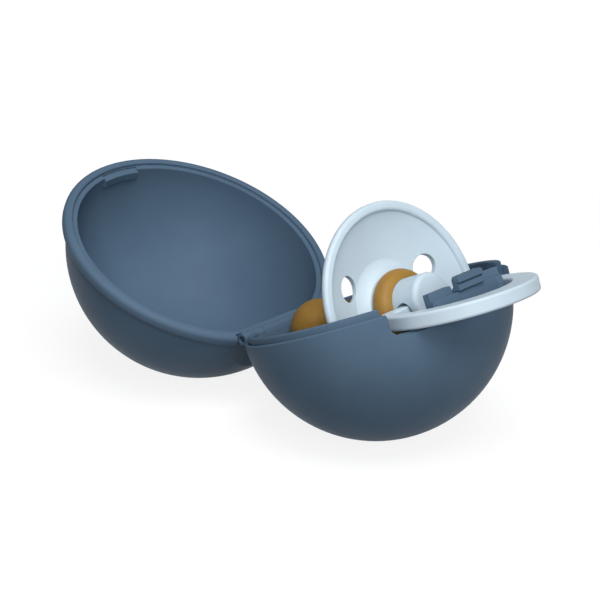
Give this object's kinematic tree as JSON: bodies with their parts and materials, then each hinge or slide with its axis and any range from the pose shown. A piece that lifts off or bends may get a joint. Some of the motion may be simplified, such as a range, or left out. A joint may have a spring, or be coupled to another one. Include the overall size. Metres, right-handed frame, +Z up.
{
  "type": "pacifier sterilizer case",
  "caption": "Ball-shaped hinged case lying open on two round bowls, with a round-shield pacifier standing in the base bowl and its pull ring laid round the latch post.",
  "frame": {"origin": "the point under the middle of the base bowl where its round bottom touches the surface it lies on", "axes": "+X from the hinge to the latch, +Z up, +Y to the left when looking along +X; the case is mirrored about Y=0"},
  "size_m": [0.1311, 0.069, 0.0552],
  "materials": {
    "case": "fine satin",
    "pin": "drawn wire",
    "pale_plastic": "satin",
    "nipple_rubber": "soft satin natural rubber"
  },
  "bodies": {
    "base": {"base_shell": "case", "base_liner": "case", "hinge_pin": "pin"},
    "lid": {"lid_shell": "case"},
    "latch": {"latch_hook": "case"},
    "pacifier": {"pacifier_shield": "pale_plastic", "pacifier_nipple": "nipple_rubber", "nipple_plug": "pale_plastic", "pacifier_knob": "pale_plastic"},
    "ring": {"pull_ring": "pale_plastic"}
  },
  "joints": [
    {"name": "lid_hinge", "type": "hinge", "parent": "base", "child": "lid", "pos_m": [-0.02877, 0, 0.01923], "axis": [0, 1, 0], "range_deg": [0, 130.7]},
    {"name": "latch_flex", "type": "hinge", "parent": "base", "child": "latch", "pos_m": [0.02688, 0, 0.0378], "axis": [0, 1, 0], "range_deg": [-6, 0], "stiffness_Nm_per_rad": 0.02},
    {"name": "pacifier_play", "type": "slide", "parent": "base", "child": "pacifier", "axis": [-0.3923, 0, 0.9198], "range_m": [0, 0.001]},
    {"name": "ring_swing", "type": "hinge", "parent": "pacifier", "child": "ring", "pos_m": [0.01368, 0, 0.03408], "axis": [0, -1, 0], "range_deg": [0, 95]}
  ]
}
